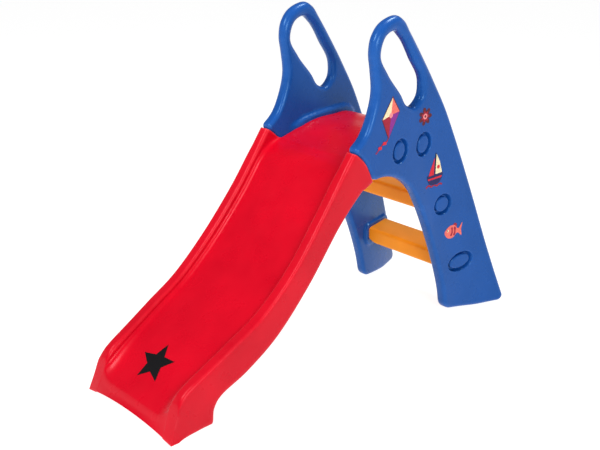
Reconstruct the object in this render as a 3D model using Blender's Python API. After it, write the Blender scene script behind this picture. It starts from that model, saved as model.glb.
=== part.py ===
"""Toddler slide: a chute that carries its own platform, two side panels with hand loops, two steps
between them, and the screws that hold it together.

Metres, +Z up. x runs across the slide and +y runs from the chute's exit to the ladder. The design is
drawn in side view, as (y, z) with y counted from the exit, and is moved at the end so that the origin
is on the floor under the middle of the whole slide.
"""
import math

import bmesh
import bpy
from mathutils import Matrix, Vector
from mathutils.geometry import delaunay_2d_cdt

# ---------------------------------------------------------------- driving dimensions
HEEL_CORNER_Y = 1.342         # where the rear edge of a leg meets the floor, before its corner is rounded
HALF_WIDTH = 0.200            # outer face of the chute and of the upper part of a side panel
PANEL_T = 0.038               # thickness of a side panel
INNER_X = HALF_WIDTH - PANEL_T
FIT_GAP = 0.0008              # play between two mouldings
TOUCH_GAP = 0.0003            # between pieces that rest on each other
PANEL_EDGE_R = 0.0125         # rounding round the rim of a side panel and its hand hole
CORNER_CUT = 0.027            # how far a corner of the panel's outline is cut back by its round
OUTLINE_STEP = 0.026          # spacing of points along the panel's outline
PANEL_GRID = 0.036            # spacing of points over the panel's faces

COLLAR_T = 0.009              # how proud the collar round a step's end stands on the panel's inner face
COLLAR_RIM = 0.014            # width of the collar round the step
STEP_END_GAP = 0.0022         # end play of a step in its sockets
SOCKET_DEPTH = 0.0015         # how far a step's end goes into the panel, inside the collar

CHUTE_WALL = 0.038            # width of the chute's side wall
CHUTE_RIM_R = 0.012           # rounding of the wall's top
BED_T = 0.014                 # thickness of the bed
FLANGE_X = 0.128              # inner side of the band under the bed
EXIT_ARCH = 0.018             # rise of the front wall's bottom edge at its middle

PLATFORM_HALF = INNER_X - FIT_GAP
PLATFORM_DEPTH = 0.052        # depth of the platform's side bands
PLATFORM_EDGE_R = 0.006

STEP_T = 0.053                # thickness of a step
STEP_DEPTH = 0.120            # front to back
STEP_EDGE_R = 0.011
STEP_CORNER_W = 0.040         # how far in from its end a step's underside starts to rise
STEP_CORNER_H = 0.028         # and how far it rises
LOWER_STEP = (1.120, 0.198)   # front edge y, top z
UPPER_STEP = (1.030, 0.418)

# Outward flare of the legs: it grows downwards from FLARE_TOP and rearwards from the crease line.
FLARE_TOP = 0.95
FLARE_LINEAR = 0.031
FLARE_CUBIC = 0.048
CREASE_Y0 = 1.107
CREASE_SLOPE = 0.28
FLARE_POWER = 1.35

# Fixings
POCKET_DEPTH = 0.016
BORE_R = 0.0048
SHANK_R = 0.0039
SCREW_HEAD_R = 0.0070
SCREW_HEAD_T = 0.0045
SCREW_LENGTH = 0.048
WASHER_R = 0.0095
WASHER_T = 0.0015
NUT_FLATS = 0.0130
NUT_T = 0.0065
NUT_INSET = 0.018             # from the panel's inner face to the near side of the nut
CAP_RIM = 0.0095              # groove left round a cap in its pocket
CAP_T = 0.0135
CAP_HOLLOW_R = 0.0112
CAP_HOLLOW = 0.0080
NUT_PLAY = 0.0006             # thread play, the threads being left out
ROUND_SIDES = 12              # sides of the screws, bores, washers and nuts
POCKET_SIDES = 20             # sides of the pockets and caps
SIDE_CROWN = 0.0003           # crown of the long sides of a slab
STICKER_T = 0.0004
STICKER_GAP = 0.0006
STICKER_GRID = 0.014

# name, centre (y, z), half sizes of the pocket along y and z, tilt in degrees
FIXINGS = (
    ("platform_front", (0.846, 0.611), (0.032, 0.037), -12.0),
    ("platform_rear", (0.950, 0.611), (0.032, 0.037), -12.0),
    ("upper_step", (1.052, 0.398), (0.036, 0.034), 12.0),
    ("lower_step", (1.148, 0.181), (0.049, 0.033), 8.0),
)

# Side view of a panel, (y, z), run by run between its corners.
HEEL = (HEEL_CORNER_Y, 0.0)
BALL = (1.235, 0.0)
TOE = (1.104, 0.017)
ARCH_END = (0.732, 0.541)
NOSE = (0.648, 0.639)
PANEL_BACK = (NOSE, (0.699, 0.680), (0.729, 0.742), (0.740, 0.800), (0.733, 0.860), (0.726, 0.905),
              (0.733, 0.945), (0.757, 0.978), (0.793, 0.996), (0.826, 0.9995), (0.852, 0.984),
              (0.878, 0.951), (0.932, 0.877), (0.984, 0.801), (1.031, 0.723), (1.094, 0.601),
              (1.180, 0.410), (1.260, 0.208), HEEL)
PANEL_HEEL = (HEEL, BALL)
PANEL_SOLE = (BALL, TOE)
PANEL_ARCH = (TOE, (1.091, 0.079), (1.064, 0.164), (1.034, 0.240), (0.983, 0.351), (0.947, 0.420),
              (0.909, 0.478), (0.868, 0.513), (0.824, 0.535), (0.776, 0.545), ARCH_END)
PANEL_JOINT = (ARCH_END, (0.716, 0.576), (0.697, 0.607), (0.676, 0.628), NOSE)
HAND_HOLE = ((0.816, 0.957), (0.777, 0.945), (0.759, 0.900), (0.790, 0.845), (0.848, 0.777),
             (0.873, 0.741), (0.903, 0.730), (0.932, 0.753), (0.935, 0.798), (0.894, 0.867),
             (0.843, 0.937))

# The chute in side view, from the joint with the panels down to the floor. Each row is one cross
# section: the top of the wall, the middle of the bed, and the bottom of the side band.
CHUTE_SECTIONS = (
    ((0.655, 0.641), (0.6985, 0.6045), (0.732, 0.541)),
    ((0.627, 0.604), (0.656, 0.586), (0.708, 0.528)),
    ((0.598, 0.566), (0.618, 0.554), (0.683, 0.515)),
    ((0.529, 0.477), (0.548, 0.463), (0.600, 0.437)),
    ((0.428, 0.362), (0.444, 0.346), (0.486, 0.307)),
    ((0.317, 0.265), (0.329, 0.248), (0.368, 0.190)),
    ((0.215, 0.207), (0.225, 0.189), (0.262, 0.119)),
    ((0.130, 0.161), (0.141, 0.141), (0.177, 0.078)),
    ((0.082, 0.137), (0.095, 0.111), (0.150, 0.044)),
    ((0.055, 0.119), (0.059, 0.083), (0.142, 0.000)),
    ((0.0420, 0.1025), (0.0275, 0.0560), (0.110, 0.000)),
    ((0.0350, 0.0900), (0.0178, 0.0445), (0.092, 0.000)),
    ((0.0210, 0.0540), (0.0097, 0.0250), (0.060, 0.000)),
    ((0.0000, 0.0000), (0.0010, 0.0020), (0.030, 0.000)),
)
CHUTE_HALF_WIDTHS = (0.1995, 0.1988, 0.198, 0.199, 0.2035, 0.202, 0.197, 0.191, 0.188, 0.187, 0.187, 0.188,
                     0.190, 0.195)
# How far the round from the bed up into the wall reaches across, and up, at each of those sections.
BED_ROUNDS = ((0.016, 0.014), (0.016, 0.014), (0.016, 0.012), (0.016, 0.012), (0.016, 0.012), (0.017, 0.011),
              (0.019, 0.011), (0.026, 0.013), (0.036, 0.017), (0.046, 0.026), (0.050, 0.032), (0.050, 0.032),
              (0.050, 0.018), (0.040, 0.001))
SECTION_STEPS = 3             # cross sections made between two rows
PLATFORM_TOP = ((0.6985, 0.6045), (0.724, 0.6105), (0.752, 0.6180), (0.783, 0.6270), (0.816, 0.6355),
                (0.856, 0.6415), (0.920, 0.6425), (0.985, 0.6415), (1.018, 0.633))
PLATFORM_END = ((1.040, 0.618), (1.050, 0.597))

WITHIN_EDGES = 1              # triangulate only what the outline encloses

RED = (0.745, 0.002, 0.018)
BLUE = (0.012, 0.080, 0.370)
ORANGE = (0.900, 0.240, 0.012)
STEEL = (0.560, 0.570, 0.580)


# ---------------------------------------------------------------- plane geometry
def smooth_path(points, spacing, closed=False):
    """A smooth curve through the points, in steps of about the given spacing."""
    pts = [Vector(p) for p in points]
    count = len(pts)
    spans = count if closed else count - 1
    chords = [(pts[(i + 1) % count] - pts[i]).length for i in range(spans)]

    def tangent(i):
        if not closed and i == 0:
            return (pts[1] - pts[0]) / chords[0]
        if not closed and i == count - 1:
            return (pts[-1] - pts[-2]) / chords[-1]
        before, after = chords[i - 1], chords[i % spans]
        back = (pts[i] - pts[i - 1]) / before
        ahead = (pts[(i + 1) % count] - pts[i]) / after
        return (back * after + ahead * before) / (before + after)

    path = []
    for i in range(spans):
        start, end = pts[i], pts[(i + 1) % count]
        out, into = tangent(i) * chords[i], tangent((i + 1) % count) * chords[i]
        steps = max(1, round(chords[i] / spacing))
        for k in range(steps):
            t = k / steps
            path.append(start * (2 * t ** 3 - 3 * t ** 2 + 1) + out * (t ** 3 - 2 * t ** 2 + t)
                        + end * (3 * t ** 2 - 2 * t ** 3) + into * (t ** 3 - t ** 2))
    if not closed:
        path.append(pts[-1])
    return path


def trimmed(path, cut):
    """The path with a length cut off its start."""
    path = list(path)
    while (path[1] - path[0]).length < cut:
        cut -= (path[1] - path[0]).length
        path.pop(0)
    path[0] = path[0].lerp(path[1], cut / (path[1] - path[0]).length)
    if (path[1] - path[0]).length < 0.4 * (path[2] - path[1]).length:
        path.pop(1)
    return path


def corner_round(start, corner, end, steps):
    """Points between start and end on the arc that touches both sides of the corner."""
    weight = math.cos((corner - start).angle(end - corner) / 2)
    points = []
    for k in range(1, steps):
        t = k / steps
        a, b, c = (1 - t) ** 2, 2 * weight * t * (1 - t), t ** 2
        points.append((start * a + corner * b + end * c) / (a + b + c))
    return points


def closed_outline(runs, spacing, corner_cut, corner_steps=4):
    """Join runs that share their end points into one loop, with its corners rounded."""
    paths = [smooth_path(run, spacing) for run in runs]
    paths = [trimmed(trimmed(path, corner_cut)[::-1], corner_cut)[::-1] for path in paths]
    loop = []
    for i, path in enumerate(paths):
        following = paths[(i + 1) % len(paths)]
        loop.extend(path)
        loop.extend(corner_round(path[-1], Vector(runs[i][-1]), following[0], corner_steps))
    return loop


def signed_area(loop):
    return 0.5 * sum(a.x * b.y - b.x * a.y for a, b in zip(loop, loop[1:] + loop[:1]))


def inset(loop, distance):
    """The loop moved to its left, which is inwards where it runs counter-clockwise."""
    moved = []
    for i, point in enumerate(loop):
        back = (point - loop[i - 1]).normalized()
        ahead = (loop[(i + 1) % len(loop)] - point).normalized()
        normal = Vector((-back.y - ahead.y, back.x + ahead.x)).normalized()
        stretch = max(0.5, normal.dot(Vector((-back.y, back.x))))
        moved.append(point + normal * (distance / stretch))
    return moved


def inside(point, loop):
    """Whether the point is within the loop."""
    crossings = 0
    for a, b in zip(loop, loop[1:] + loop[:1]):
        if (a.y > point.y) != (b.y > point.y):
            crossings += point.x < a.x + (point.y - a.y) / (b.y - a.y) * (b.x - a.x)
    return crossings % 2 == 1


def grid_inside(loop, spacing):
    """Points of a triangular grid that lie within the loop."""
    low = Vector((min(p.x for p in loop), min(p.y for p in loop)))
    high = Vector((max(p.x for p in loop), max(p.y for p in loop)))
    spots = []
    for row in range(int((high.y - low.y) / spacing) + 1):
        for column in range(int((high.x - low.x) / spacing) + 1):
            spot = low + Vector((column + 0.5 * (row % 2), row)) * spacing
            if inside(spot, loop):
                spots.append(spot)
    return spots


def ellipse(half_y, half_z, tilt, steps):
    """Points of a tilted ellipse about the origin."""
    turn = Matrix.Rotation(math.radians(tilt), 2)
    angles = [math.tau * i / steps for i in range(steps)]
    return [turn @ Vector((half_y * math.cos(a), half_z * math.sin(a))) for a in angles]


# ---------------------------------------------------------------- the panel's faces
PANEL_REAR = smooth_path(PANEL_BACK[9:], 0.02)


def rear_edge_y(z):
    """Where the panel's rear edge is at a height."""
    for low, high in zip(PANEL_REAR[1:], PANEL_REAR):
        if low.y <= z <= high.y:
            return low.x + (z - low.y) / (high.y - low.y) * (high.x - low.x)
    return PANEL_REAR[-1].x


def flare(y, z):
    """How far the panel stands out sideways from its flat upper part."""
    drop = max(0.0, FLARE_TOP - z)
    full = FLARE_LINEAR * drop + FLARE_CUBIC * drop ** 3
    crease = CREASE_Y0 - CREASE_SLOPE * z
    across = (y - crease) / max(0.01, rear_edge_y(z) - crease)
    return full * min(1.0, max(0.0, across)) ** FLARE_POWER


def inner_face_x(y, z):
    return INNER_X + flare(y, z)


def outer_face_x(y, z):
    return HALF_WIDTH + flare(y, z)


# ---------------------------------------------------------------- making objects
def new_material(name, color, roughness, metallic=0.0):
    material = bpy.data.materials.new(name)
    material.use_nodes = True
    shader = material.node_tree.nodes["Principled BSDF"]
    shader.inputs["Base Color"].default_value = (*color, 1.0)
    shader.inputs["Roughness"].default_value = roughness
    shader.inputs["Metallic"].default_value = metallic
    return material


def new_object(name, bm, color, roughness=0.38, metallic=0.0, origin=(0.0, 0.0, 0.0)):
    """Turn a bmesh into a named object with its own material and its origin at the given point."""
    bmesh.ops.recalc_face_normals(bm, faces=bm.faces)
    bmesh.ops.translate(bm, verts=bm.verts, vec=-Vector(origin))
    mesh = bpy.data.meshes.new(name)
    bm.to_mesh(mesh)
    bm.free()
    mesh.shade_smooth()
    mesh.set_sharp_from_angle(angle=math.radians(40))
    mesh.materials.append(new_material(name, color, roughness, metallic))
    thing = bpy.data.objects.new(name, mesh)
    thing.location = origin
    bpy.context.collection.objects.link(thing)
    return thing


def mirrored(bm):
    """A copy of the bmesh on the other side of x = 0."""
    copy = bm.copy()
    bmesh.ops.scale(copy, vec=(-1.0, 1.0, 1.0), verts=copy.verts)
    bmesh.ops.reverse_faces(copy, faces=copy.faces)
    return copy


def prism_along_x(bm, loop, low_x, high_x):
    """Add a closed prism to the bmesh: a (y, z) loop drawn out along x."""
    ends = [[bm.verts.new((x, p.x, p.y)) for p in loop] for x in (low_x, high_x)]
    count = len(loop)
    bm.faces.new(ends[0])
    bm.faces.new(ends[1][::-1])
    for i in range(count):
        j = (i + 1) % count
        bm.faces.new((ends[0][i], ends[1][i], ends[1][j], ends[0][j]))


def shifted(loop, centre):
    return [p + Vector(centre) for p in loop]


def divided(loop, spacing):
    """The loop with points added along its sides, which get a slight outward crown."""
    outward = math.copysign(SIDE_CROWN, signed_area(loop))
    points = []
    for a, b in zip(loop, loop[1:] + loop[:1]):
        steps = max(1, round((b - a).length / spacing))
        normal = Vector((b.y - a.y, a.x - b.x)).normalized() * outward
        for k in range(steps):
            t = k / steps
            points.append(a.lerp(b, t) + normal * 4 * t * (1 - t))
    return points


def slab_mesh(loop, spacing, low_x, high_x):
    """A slab over a (y, z) loop, between two surfaces given as functions of (y, z)."""
    rim = divided(loop, spacing)
    edges = [(i, (i + 1) % len(rim)) for i in range(len(rim))]
    spots = [p for p in grid_inside(loop, spacing) if min((p - q).length for q in rim) > 0.5 * spacing]
    flat, _, triangles, _, _, _ = delaunay_2d_cdt(rim + spots, edges, [], WITHIN_EDGES, 1e-7)
    bm = bmesh.new()
    low, high = ([bm.verts.new((face_x(*p), p.x, p.y)) for p in flat] for face_x in (low_x, high_x))
    for triangle in triangles:
        bm.faces.new([high[i] for i in triangle])
        bm.faces.new([low[i] for i in reversed(triangle)])
    for i, j in edges:
        bm.faces.new((low[i], low[j], high[j], high[i]))
    return bm


def combine(thing, tool_bm, operation):
    """Cut a bmesh out of an object, or join it on."""
    tool = new_object(thing.name + "_tool", tool_bm, STEEL)
    tool.hide_render = True
    tool.display_type = "WIRE"
    boolean = thing.modifiers.new(tool.name, "BOOLEAN")
    boolean.operation = operation
    boolean.solver = "EXACT"
    boolean.object = tool


# ---------------------------------------------------------------- side panels
def edge_rounding(steps=2):
    """(distance in from the rim, depth below the face) round a quarter circle."""
    turns = [math.pi / 2 * i / steps for i in range(steps + 1)]
    return [(PANEL_EDGE_R * (1 - math.cos(a)), PANEL_EDGE_R * (1 - math.sin(a))) for a in turns]


def panel_mesh():
    """The right panel: two faces over one flat triangulation, joined round both rims."""
    outline = closed_outline((PANEL_BACK, PANEL_HEEL, PANEL_SOLE, PANEL_ARCH, PANEL_JOINT),
                             OUTLINE_STEP, CORNER_CUT)
    hole = smooth_path(HAND_HOLE, OUTLINE_STEP, closed=True)
    if signed_area(outline) < 0:
        outline.reverse()
    if signed_area(hole) > 0:
        hole.reverse()
    rounding = edge_rounding()
    points, depths, edges = [], [], []
    for loop in (outline, hole):
        for distance, depth in rounding:
            first = len(points)
            ring = inset(loop, distance)
            points.extend(ring)
            depths.extend([depth] * len(ring))
            edges.extend((first + i, first + (i + 1) % len(ring)) for i in range(len(ring)))
    clear_outline = inset(outline, PANEL_EDGE_R + 0.4 * PANEL_GRID)
    clear_hole = inset(hole, PANEL_EDGE_R + 0.4 * PANEL_GRID)
    for spot in grid_inside(clear_outline, PANEL_GRID):
        if not inside(spot, clear_hole):
            points.append(spot)
            depths.append(0.0)
    flat, _, triangles, _, _, _ = delaunay_2d_cdt(points, edges, [], WITHIN_EDGES, 1e-7)
    bm = bmesh.new()
    outer = [bm.verts.new((outer_face_x(*p) - d, p.x, p.y)) for p, d in zip(flat, depths)]
    inner = [bm.verts.new((inner_face_x(*p) + d, p.x, p.y)) for p, d in zip(flat, depths)]
    for triangle in triangles:
        middle = sum((flat[i] for i in triangle), Vector((0.0, 0.0))) / 3
        if not inside(middle, hole):
            bm.faces.new([outer[i] for i in triangle])
            bm.faces.new([inner[i] for i in reversed(triangle)])
    rim_starts = (0, len(rounding) * len(outline))
    for start, loop in zip(rim_starts, (outline, hole)):
        for i in range(len(loop)):
            a, b = start + i, start + (i + 1) % len(loop)
            bm.faces.new((inner[a], inner[b], outer[b], outer[a]))
    return bm


def pocket_floor_x(centre):
    return outer_face_x(*centre) - POCKET_DEPTH


def panel_cutters():
    """The pockets in the outer face, and the bores in their floors."""
    pockets, bores = bmesh.new(), bmesh.new()
    for _, centre, half, tilt in FIXINGS:
        floor = pocket_floor_x(centre)
        prism_along_x(pockets, shifted(ellipse(*half, tilt, POCKET_SIDES), centre), floor, floor + 0.05)
        prism_along_x(bores, shifted(ellipse(BORE_R, BORE_R, 0, ROUND_SIDES), centre), floor - 0.05,
                      floor + 0.01)
    return pockets, bores


def collar_mesh(place):
    """The raised collar round a step's end, sunk into the panel so that the two join."""
    loop = shifted(step_profile(COLLAR_RIM), place)
    return slab_mesh(loop, 0.04, lambda y, z: inner_face_x(y, z) - COLLAR_T,
                     lambda y, z: inner_face_x(y, z) + 0.5 * PANEL_T)


def step_socket_mesh(place):
    loop = shifted(step_profile(FIT_GAP), place)
    return slab_mesh(loop, 0.04, lambda y, z: inner_face_x(y, z) - 2 * COLLAR_T,
                     lambda y, z: inner_face_x(y, z) + SOCKET_DEPTH)


def make_panels():
    for side, turn in (("right", lambda bm: bm), ("left", mirrored)):
        panel = new_object(side + "_side_panel", turn(panel_mesh()), BLUE)
        for place in (LOWER_STEP, UPPER_STEP):
            combine(panel, turn(collar_mesh(place)), "UNION")
            combine(panel, turn(step_socket_mesh(place)), "DIFFERENCE")
        for cutter in panel_cutters():
            combine(panel, turn(cutter), "DIFFERENCE")


# ---------------------------------------------------------------- chute and platform
def along(start, end, distance):
    return start + (end - start).normalized() * distance


def at_height(point, x, arch=0.0, reach=1.0):
    """A section point, lifted by an arch that dies away at the given reach from the middle."""
    return (x, point.x, point.y + arch * max(0.0, 1 - (x / reach) ** 2))


def chute_half_section(rim, bed, band, half_width, bed_round, arch):
    """Right half of a cross section, from the middle of the bed round to the middle underneath.

    The platform carries on from the points before and after the wall, so their numbers come back too.
    """
    inner_x = half_width - CHUTE_WALL
    wall_height = (rim - bed).length
    rim_r = min(CHUTE_RIM_R, 0.4 * wall_height)
    across, up = bed_round.x, min(bed_round.y, 0.9 * (wall_height - rim_r))

    def at(point, x):
        return at_height(point, x, arch, half_width)

    points = [at(bed, 0.0), at(bed, 0.5 * inner_x)]
    for turn in (0.0, 30.0, 60.0):
        a = math.radians(turn)
        x = inner_x - across * (1 - math.sin(a))
        points.append(at(along(bed, rim, up * (1 - math.cos(a))), x))
    corner = len(points)
    points.append(at(along(bed, rim, up), inner_x))
    for turn in (0.0, 45.0, 90.0):
        a = math.radians(turn)
        x = inner_x + rim_r * (1 - math.cos(a))
        points.append(at(along(rim, bed, rim_r * (1 - math.sin(a))), x))
    for turn in (90.0, 45.0, 0.0):
        a = math.radians(turn)
        x = half_width - rim_r * (1 - math.cos(a))
        points.append(at(along(rim, bed, rim_r * (1 - math.sin(a))), x))
    points.append(at(bed, half_width))
    points.append(at(along(band, bed, 0.004), half_width))
    points.append(at(band, half_width - 0.004))
    under_wall = len(points)
    points.append(at(band, inner_x))
    points.append(at(band, FLANGE_X))
    roof = along(bed, band, min(BED_T, 0.5 * (band - bed).length))
    points.append(at(roof, FLANGE_X - 0.004))
    points.append(at(roof, 0.5 * FLANGE_X))
    points.append(at(roof, 0.0))
    return points, corner, under_wall


def platform_half_section(top, bottom):
    """Right half of the platform's cross section, with as many points as the chute has without walls."""
    r = PLATFORM_EDGE_R
    points = [at_height(top, 0.0), at_height(top, 0.5 * PLATFORM_HALF)]
    points.append(at_height(top, PLATFORM_HALF - 3 * r))
    for turn in (0.0, 45.0, 90.0):
        a = math.radians(turn)
        x = PLATFORM_HALF - r * (1 - math.sin(a))
        points.append(at_height(along(top, bottom, r * (1 - math.cos(a))), x))
    points.append(at_height(bottom, PLATFORM_HALF))
    points.append(at_height(bottom, FLANGE_X))
    roof = along(top, bottom, BED_T)
    points.append(at_height(roof, FLANGE_X - 0.004))
    points.append(at_height(roof, 0.5 * FLANGE_X))
    points.append(at_height(roof, 0.0))
    return points


def full_ring(bm, half):
    """Vertices right round a section, from its right half: both middle points are on x = 0."""
    right = [bm.verts.new(p) for p in half]
    left = [bm.verts.new((-x, y, z)) for x, y, z in half[1:-1]]
    return right, [right[0], *left, right[-1]]


def bridge(bm, ring_a, ring_b):
    """Faces between two half rings with equally many points."""
    for i in range(len(ring_a) - 1):
        quad = (ring_a[i], ring_a[i + 1], ring_b[i + 1], ring_b[i])
        if len(set(quad)) == 4:
            bm.faces.new(quad)


def platform_stations():
    """(top, bottom) of each cross section of the platform, in side view."""
    tops = smooth_path(PLATFORM_TOP, 0.03)[1:]
    level = PLATFORM_TOP[5][1] - PLATFORM_DEPTH
    first = ARCH_END[1] + 0.004
    stations = []
    for top in tops:
        blend = min(1.0, (top.x - PLATFORM_TOP[0][0]) / 0.10)
        blend = blend * blend * (3 - 2 * blend)
        stations.append((top, Vector((top.x + 0.018 * (1 - blend), first + (level - first) * blend))))
    for top in PLATFORM_END:
        stations.append((Vector(top), Vector((top[0] - 0.001, level + 0.001 * (top[0] > 1.045)))))
    return stations


def make_chute():
    rims, beds, bands = ([Vector(row[k]) for row in CHUTE_SECTIONS] for k in range(3))
    spans = len(CHUTE_SECTIONS) - 1
    widths = [Vector((i, w)) for i, w in enumerate(CHUTE_HALF_WIDTHS)]

    def resampled(points):
        """Points at the same parameters on every path, so that sections stay in step."""
        path = []
        for i in range(spans):
            before = points[i - 1] if i else points[0] * 2 - points[1]
            after = points[i + 2] if i + 2 <= spans else points[spans] * 2 - points[spans - 1]
            for k in range(SECTION_STEPS):
                t = k / SECTION_STEPS
                path.append(0.5 * (2 * points[i] + (points[i + 1] - before) * t
                                   + (2 * before - 5 * points[i] + 4 * points[i + 1] - after) * t ** 2
                                   + (3 * points[i] - before - 3 * points[i + 1] + after) * t ** 3))
        return path + [points[-1]]

    rims, beds, bands, widths = (resampled(p) for p in (rims, beds, bands, widths))
    rounds = resampled([Vector(r) for r in BED_ROUNDS])
    bm = bmesh.new()
    rings = []
    for i, (rim, bed, band, width, bed_round) in enumerate(zip(rims, beds, bands, widths, rounds)):
        band.y = max(0.0, band.y)
        nearness = max(0.0, 1 - (len(rims) - 1 - i) / (2.0 * SECTION_STEPS))
        half, corner, under_wall = chute_half_section(rim, bed, band, width.y, bed_round,
                                                      EXIT_ARCH * nearness ** 2)
        rings.append(full_ring(bm, half))
    for ring_a, ring_b in zip(rings, rings[1:]):
        bridge(bm, ring_a[0], ring_b[0])
        bridge(bm, ring_a[1], ring_b[1])
    bm.faces.new(rings[-1][0] + rings[-1][1][-2:0:-1])

    joint = rings[0]
    for half_ring in joint:
        bm.faces.new(half_ring[corner:under_wall + 1])
    cores = [[half[k] for k in range(len(half)) if k <= corner or k >= under_wall] for half in joint]
    previous = cores
    for top, bottom in platform_stations():
        ring = full_ring(bm, platform_half_section(top, bottom))
        for a, b in zip(previous, ring):
            bridge(bm, a, b)
        previous = ring
    bm.faces.new(previous[0] + previous[1][-2:0:-1])
    bmesh.ops.triangulate(bm, faces=[f for f in bm.faces if len(f.verts) > 4])
    chute = new_object("chute", bm, RED)
    for side in (1, -1):
        for which in FIXINGS[:2]:
            for cutter in fixing_socket(which, side, PLATFORM_DEPTH):
                combine(chute, cutter, "DIFFERENCE")


# ---------------------------------------------------------------- steps
def step_profile(grow=0.0):
    """Rounded cross section of a step in side view: front edge at y = 0, top at z = 0."""
    r = STEP_EDGE_R
    loop = []
    for cy, cz, start in ((r, -r, 180), (STEP_DEPTH - r, -r, 90),
                          (STEP_DEPTH - r, r - STEP_T, 0), (r, r - STEP_T, -90)):
        for k in range(3):
            a = math.radians(start - 45 * k)
            loop.append(Vector((cy + (r + grow) * math.cos(a), cz + (r + grow) * math.sin(a))))
    return loop


def step_corner_rise(inset_from_end, depth_below_top):
    """The underside of a step rises in a round near its ends."""
    near = max(0.0, 1 - inset_from_end / STEP_CORNER_W)
    lowness = max(0.0, (depth_below_top - 2 * STEP_EDGE_R) / (STEP_T - 2 * STEP_EDGE_R))
    return STEP_CORNER_H * (1 - math.sqrt(1 - near ** 2)) * lowness


def make_step(name, place, which):
    front, top = place
    profile = shifted(step_profile(), (front, top))
    bm = bmesh.new()
    insets = (0.0, 0.003, 0.010, 0.020, 0.030, STEP_CORNER_W)
    rings = []
    for side in (-1, 1):
        for inset_x in insets if side < 0 else insets[::-1]:
            ring = []
            for p in profile:
                x = inner_face_x(p.x, p.y) + SOCKET_DEPTH - STEP_END_GAP - inset_x
                rise = step_corner_rise(inset_x, top - p.y)
                ring.append(bm.verts.new((side * x, p.x, p.y + rise)))
            rings.append(ring)
    for ring_a, ring_b in zip(rings, rings[1:]):
        for i in range(len(profile)):
            j = (i + 1) % len(profile)
            bm.faces.new((ring_a[i], ring_a[j], ring_b[j], ring_b[i]))
    bm.faces.new(rings[0])
    bm.faces.new(rings[-1][::-1])
    bmesh.ops.triangulate(bm, faces=[f for f in bm.faces if len(f.verts) > 4])
    step = new_object(name, bm, ORANGE)
    for side in (1, -1):
        for cutter in fixing_socket(which, side, STEP_T):
            combine(step, cutter, "DIFFERENCE")


# ---------------------------------------------------------------- fixings
def nut_start_x(centre):
    return inner_face_x(*centre) - NUT_INSET


def fixing_socket(which, side, depth):
    """Slot for the captive nut, open underneath, and the blind bore that crosses it."""
    _, (y, z), _, _ = which
    near = nut_start_x((y, z)) + 0.0005
    far = near - NUT_T - 0.001
    half = NUT_FLATS / 2 + 0.0005
    slot = bmesh.new()
    corners = [Vector(c) for c in ((y - half, z - depth), (y + half, z - depth),
                                   (y + half, z + half), (y - half, z + half))]
    prism_along_x(slot, corners, side * far, side * near)
    bore = bmesh.new()
    loop = shifted(ellipse(BORE_R, BORE_R, 0, ROUND_SIDES), (y, z))
    floor = pocket_floor_x((y, z))
    prism_along_x(bore, loop, side * (floor - SCREW_LENGTH - 0.004), side * (floor + 0.02))
    return slot, bore


def lathe_x(bm, rows, centre):
    """Turn (x, radius) rows about a line along x. Rows of radius 0 close the shape."""
    y, z = centre
    steps = ROUND_SIDES
    rings = []
    for x, radius in rows:
        if radius == 0:
            rings.append([bm.verts.new((x, y, z))] * steps)
            continue
        angles = [math.tau * i / steps for i in range(steps)]
        rings.append([bm.verts.new((x, y + radius * math.cos(a), z + radius * math.sin(a)))
                      for a in angles])
    for ring_a, ring_b in zip(rings, rings[1:]):
        for i in range(steps):
            j = (i + 1) % steps
            corners = []
            for vert in (ring_a[i], ring_a[j], ring_b[j], ring_b[i]):
                if vert not in corners:
                    corners.append(vert)
            bm.faces.new(corners)


def screw_mesh(centre):
    """Pan head on a plain shank."""
    seat = pocket_floor_x(centre) + WASHER_T + 2 * TOUCH_GAP
    tip = seat - SCREW_LENGTH
    head = seat + SCREW_HEAD_T
    bm = bmesh.new()
    lathe_x(bm, ((tip, 0), (tip, 0.6 * SHANK_R), (tip + 0.003, SHANK_R), (seat, SHANK_R),
                 (seat, SCREW_HEAD_R), (head - 0.0015, SCREW_HEAD_R), (head, 0.7 * SCREW_HEAD_R),
                 (head, 0)), centre)
    return bm


def ring_mesh(low_x, high_x, outer_loop, hole_loop, centre):
    """A flat piece with a hole through it."""
    bm = bmesh.new()
    loops = []
    for x in (low_x, high_x):
        for loop in (outer_loop, hole_loop):
            loops.append([bm.verts.new((x, p.x, p.y)) for p in shifted(loop, centre)])
    low_outer, low_hole, high_outer, high_hole = loops
    for a, b in ((low_outer, high_outer), (high_outer, high_hole), (high_hole, low_hole),
                 (low_hole, low_outer)):
        for i in range(len(a)):
            j = (i + 1) % len(a)
            bm.faces.new((a[i], a[j], b[j], b[i]))
    return bm


def washer_mesh(centre):
    low = pocket_floor_x(centre) + TOUCH_GAP
    return ring_mesh(low, low + WASHER_T, ellipse(WASHER_R, WASHER_R, 0, ROUND_SIDES),
                     ellipse(BORE_R, BORE_R, 0, ROUND_SIDES), centre)


def nut_mesh(centre):
    near = nut_start_x(centre)
    half = NUT_FLATS / 2
    square, hole = [], []
    for k in range(ROUND_SIDES):
        a = math.tau * (k + 0.5) / ROUND_SIDES
        turn = Vector((math.cos(a), math.sin(a)))
        square.append(turn * half / max(abs(turn.x), abs(turn.y)))
        hole.append(turn * (SHANK_R + NUT_PLAY))
    return ring_mesh(near - NUT_T, near, square, hole, centre)


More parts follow.
